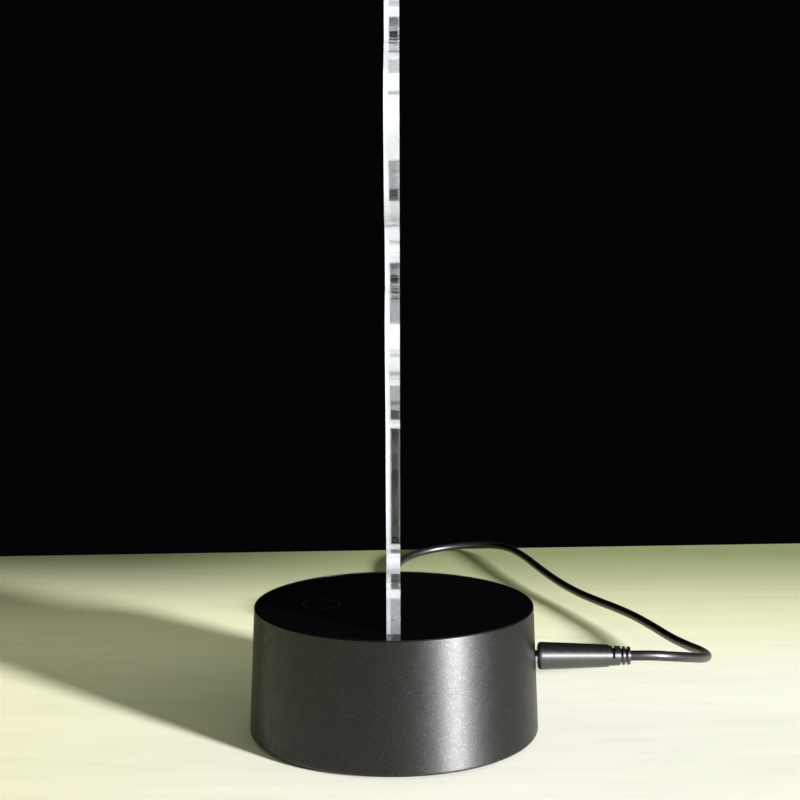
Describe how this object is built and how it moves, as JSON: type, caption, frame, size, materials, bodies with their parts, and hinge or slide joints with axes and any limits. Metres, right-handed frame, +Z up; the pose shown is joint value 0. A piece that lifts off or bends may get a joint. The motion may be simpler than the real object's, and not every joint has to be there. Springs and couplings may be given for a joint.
{
  "type": "night light",
  "caption": "Edge-lit night light: a clear engraved plate cut round a guitar stands in a round dark base with a touch key and a plug-in USB lead.",
  "frame": {"origin": "centre of the underside of the base pad, on the surface that the lamp stands on", "axes": "+Z up; the plate's engraved face and the touch key look to -Y; the plate's plane is XZ with the guitar's head towards +X; the supply lead leaves to +Y and its coil lies towards -X"},
  "size_m": [0.3332, 0.1538, 0.2325],
  "materials": {
    "shell_paint": "satin metallic dark grey paint",
    "black_gloss": "gloss",
    "clear_acrylic": "polished clear, engraved lines frosted",
    "black_plastic": "matte",
    "white_plastic": "matte",
    "foam": "matte foam",
    "screw_steel": "plain",
    "board_green": "satin",
    "light_package": "matte",
    "chip_black": "matte",
    "capacitor_can": "plain",
    "copper_foil": "plain",
    "wire_red": "satin",
    "wire_white": "satin",
    "plated_contact": "bright nickel",
    "gold_contact": "bright",
    "cord_black": "satin",
    "tie_black": "matte"
  },
  "bodies": {
    "base": {"base_shell": "shell_paint", "top_plate": "black_gloss", "bottom_cover": "black_plastic", "cover_screws": "screw_steel", "base_pad": "foam", "plate_holder": "white_plastic", "jack_body": "black_plastic", "light_board": "board_green", "lights": "light_package", "light_board_screws": "screw_steel", "holder_screws": "screw_steel", "control_board": "board_green", "board_screws": "screw_steel", "control_chip": "chip_black", "touch_chip": "chip_black", "driver_transistors": "chip_black", "chip_resistors": "chip_black", "supply_capacitor": "capacitor_can", "touch_pad": "copper_foil", "touch_wire": "wire_red", "board_wires": "wire_white", "jack_pin": "plated_contact", "jack_contact": "plated_contact"},
    "plate": {"acrylic_plate": "clear_acrylic"},
    "lead": {"plug_sleeve": "plated_contact", "plug_liner": "chip_black", "plug_contact": "plated_contact", "plug_grip": "cord_black", "plug_strain_relief": "cord_black", "supply_cord": "cord_black", "cord_coil": "cord_black", "cord_tail": "cord_black", "coil_tie": "tie_black", "usb_strain_relief": "cord_black", "usb_grip": "cord_black", "usb_shell": "plated_contact", "usb_tongue": "white_plastic", "usb_contacts": "gold_contact"}
  },
  "joints": [
    {"name": "plate_lift", "type": "slide", "parent": "base", "child": "plate", "axis": [0, 0, 1], "range_m": [0, 0.02]},
    {"name": "plug_pull", "type": "slide", "parent": "base", "child": "lead", "axis": [0, 1, 0], "range_m": [0, 0.012]}
  ]
}
